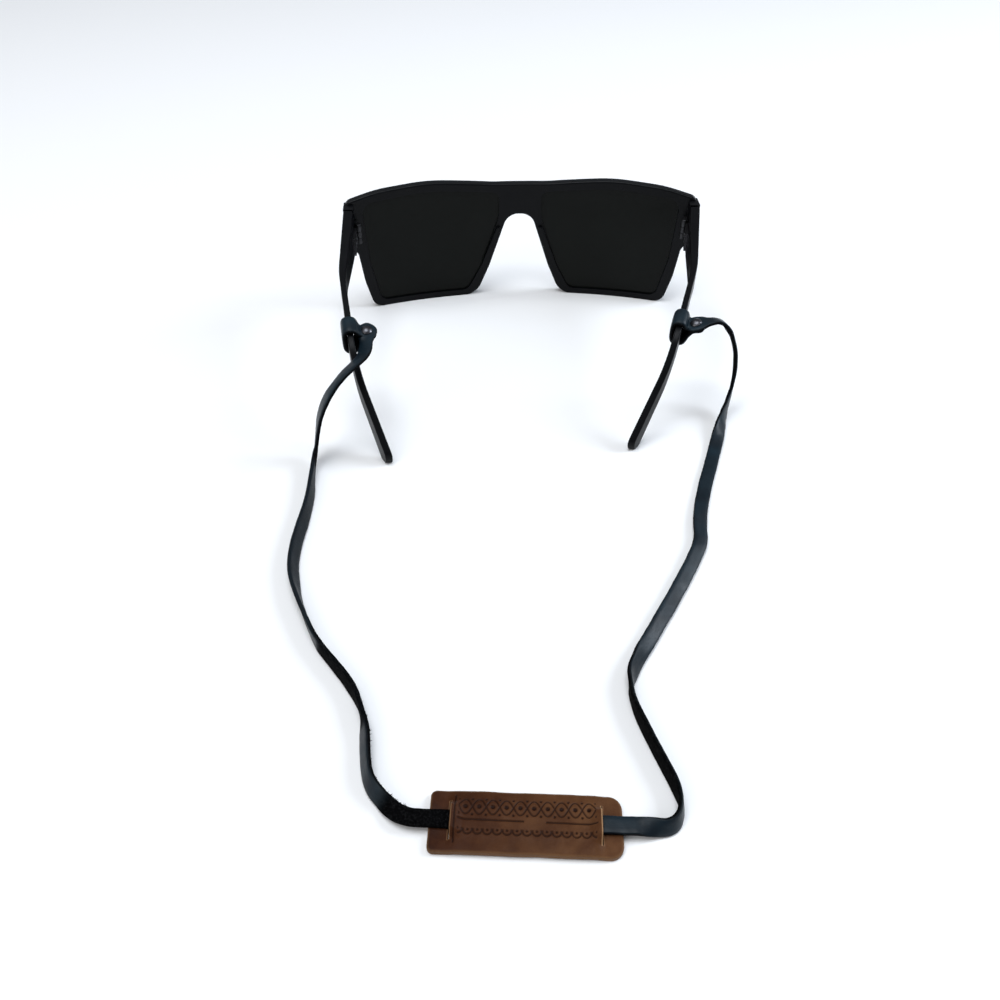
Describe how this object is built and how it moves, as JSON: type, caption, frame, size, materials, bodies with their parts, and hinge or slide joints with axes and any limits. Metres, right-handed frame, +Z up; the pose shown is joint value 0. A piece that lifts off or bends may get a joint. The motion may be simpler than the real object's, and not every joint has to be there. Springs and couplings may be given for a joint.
{
  "type": "sunglasses with leather retainer strap",
  "caption": "Flat-top sunglasses wearing a flat leather retainer strap: riveted loops round the folding temples, a long free lace and a slotted leather tag.",
  "frame": {"origin": "on the table under the middle of the sunglasses' own box, the strap left out", "axes": "+X along the front, +Y out through the lenses, +Z up; the strap lies towards -Y. Left and right are as seen from behind, the wearer's own."},
  "size_m": [0.1683, 0.2827, 0.0546],
  "materials": {
    "frame_plastic": "satin to glossy black injection-moulded plastic",
    "lens": "dark smoke tint, polished",
    "hinge_metal": "plain nickel-plated hinge metal",
    "lace_leather": "black flat lace, smooth grain side and matt flesh side",
    "rivet_metal": "dark polished domed rivet",
    "tag_leather": "brown vegetable-tanned leather, stamped"
  },
  "bodies": {
    "front": {"front_frame": "frame_plastic", "left_lens": "lens", "right_lens": "lens", "left_front_leaf": "hinge_metal", "right_front_leaf": "hinge_metal", "left_hinge_screw": "hinge_metal", "right_hinge_screw": "hinge_metal", "left_front_rivets": "hinge_metal", "right_front_rivets": "hinge_metal", "lace_left": "lace_leather", "lace_right": "lace_leather"},
    "left_temple": {"left_temple": "frame_plastic", "left_temple_leaf": "hinge_metal", "left_temple_rivets": "hinge_metal"},
    "right_temple": {"right_temple": "frame_plastic", "right_temple_leaf": "hinge_metal", "right_temple_rivets": "hinge_metal"},
    "left_loop": {"left_loop": "lace_leather", "left_rivet_post": "rivet_metal", "left_rivet_cap": "rivet_metal"},
    "right_loop": {"right_loop": "lace_leather", "right_rivet_post": "rivet_metal", "right_rivet_cap": "rivet_metal"},
    "tag": {"leather_tag": "tag_leather", "lace_middle": "lace_leather"}
  },
  "joints": [
    {"name": "left_temple_fold", "type": "hinge", "parent": "front", "child": "left_temple", "pos_m": [-0.0696, 0.0416, 0.0392], "axis": [0, 0, 1], "range_deg": [0, 82], "deforming": ["lace_left", "lace_right"]},
    {"name": "right_temple_fold", "type": "hinge", "parent": "front", "child": "right_temple", "pos_m": [0.0696, 0.0416, 0.0392], "axis": [0, 0, -1], "range_deg": [-11, 61], "deforming": ["lace_left", "lace_right"]},
    {"name": "left_loop_slide", "type": "slide", "parent": "left_temple", "child": "left_loop", "axis": [-0.146, 0.9736, 0.1753], "range_m": [-0.004, 0.012], "deforming": ["lace_left", "lace_right"]},
    {"name": "right_loop_slide", "type": "slide", "parent": "right_temple", "child": "right_loop", "axis": [0.3291, 0.9279, 0.1753], "range_m": [-0.004, 0.012], "deforming": ["lace_left", "lace_right"]},
    {"name": "tag_slide", "type": "slide", "parent": "front", "child": "tag", "axis": [0.9965, -0.0837, 0], "range_m": [-0.008, 0.008], "deforming": ["lace_left", "lace_right"]}
  ]
}
